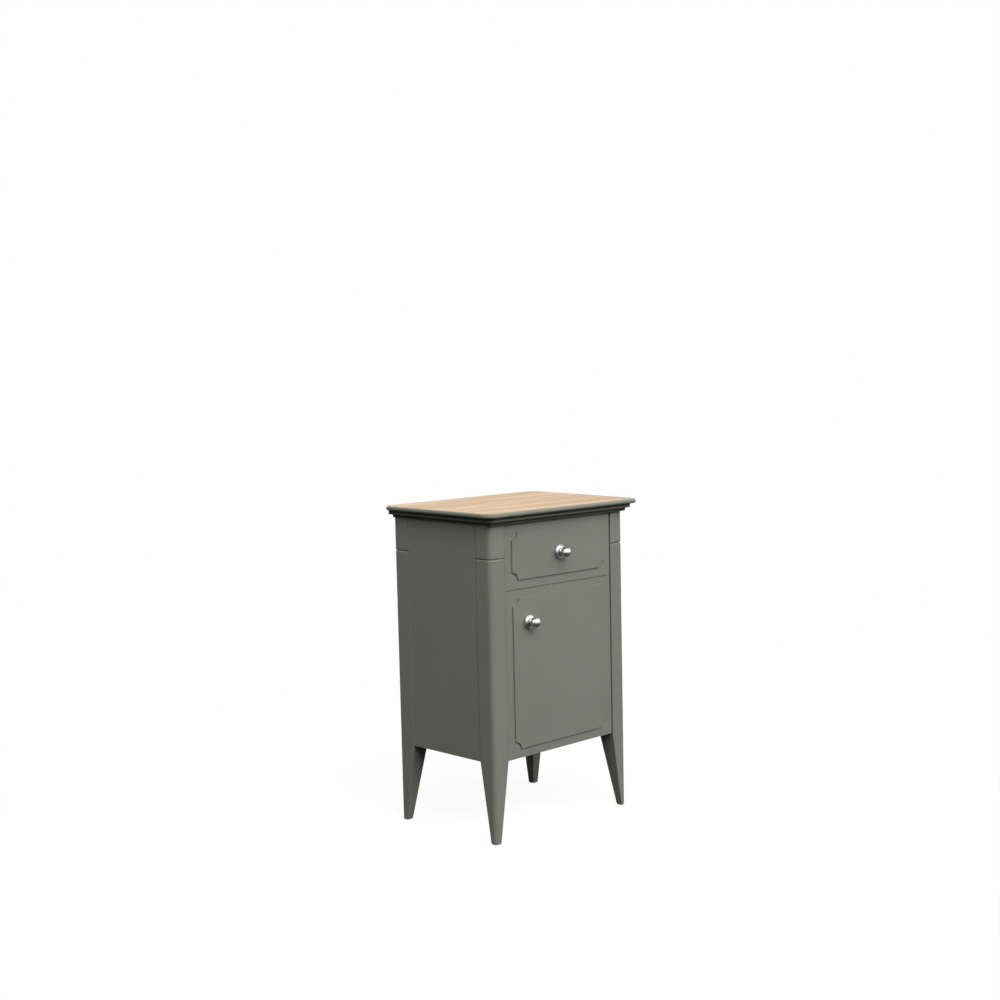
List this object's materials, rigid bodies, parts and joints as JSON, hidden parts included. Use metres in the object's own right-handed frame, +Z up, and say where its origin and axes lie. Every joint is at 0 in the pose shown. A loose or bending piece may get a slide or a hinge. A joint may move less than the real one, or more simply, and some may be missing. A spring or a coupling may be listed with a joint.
{
  "type": "bedside pot cupboard",
  "caption": "Painted bedside pot cupboard on tapered legs, with an oak-veneered top, a moulded cornice, a drawer above a hinged door, and metal ball knobs.",
  "frame": {"origin": "on the floor, under the middle of the top board, which is the middle of the bounding box", "axes": "+Z up, -Y towards the front with the drawer and the door, +X towards the right as seen from the front"},
  "size_m": [0.454, 0.344, 0.7],
  "materials": {
    "painted_wood": "satin sage-grey paint",
    "oak_veneer": "matt lacquered oak veneer",
    "bare_wood": "sealed birch",
    "satin_nickel": "polished nickel plating",
    "plated_steel": "zinc plating",
    "catch_plastic": "moulded"
  },
  "bodies": {
    "root": {"top_board": "painted_wood", "top_veneer": "oak_veneer", "cornice_front": "painted_wood", "cornice_left": "painted_wood", "cornice_right": "painted_wood", "post_front_left": "painted_wood", "post_front_right": "painted_wood", "post_rear_left": "painted_wood", "post_rear_right": "painted_wood", "side_panel_left": "painted_wood", "side_panel_right": "painted_wood", "back_panel": "bare_wood", "base_panel": "bare_wood", "divider_panel": "bare_wood", "top_rail_front": "painted_wood", "top_rail_rear": "bare_wood", "panel_dowels": "bare_wood", "rail_dowels": "bare_wood", "runner_left": "bare_wood", "runner_right": "bare_wood", "drawer_stop": "bare_wood", "catch_body": "catch_plastic", "hinge_arm_upper": "plated_steel", "hinge_arm_lower": "plated_steel", "top_screws": "plated_steel", "runner_screws": "plated_steel", "back_screws": "plated_steel", "catch_screws": "plated_steel", "stop_screw": "plated_steel", "hinge_post_screws": "plated_steel"},
    "drawer": {"drawer_front": "painted_wood", "drawer_side_left": "bare_wood", "drawer_side_right": "bare_wood", "drawer_back": "bare_wood", "drawer_bottom": "bare_wood", "drawer_knob": "satin_nickel", "drawer_knob_rose": "satin_nickel", "drawer_knob_screw": "plated_steel"},
    "door": {"door_panel": "painted_wood", "door_knob": "satin_nickel", "door_knob_rose": "satin_nickel", "door_knob_screw": "plated_steel", "hinge_cup_upper": "plated_steel", "hinge_cup_lower": "plated_steel", "hinge_pin_upper": "plated_steel", "hinge_pin_lower": "plated_steel", "hinge_door_screws": "plated_steel", "strike_plate": "plated_steel", "strike_screw": "plated_steel"}
  },
  "joints": [
    {"name": "drawer_slide", "type": "slide", "parent": "root", "child": "drawer", "axis": [0, -1, 0], "range_m": [0, 0.17]},
    {"name": "door_hinge", "type": "hinge", "parent": "root", "child": "door", "pos_m": [0.1512, -0.134, 0.352], "axis": [0, 0, 1], "range_deg": [0, 100]}
  ]
}
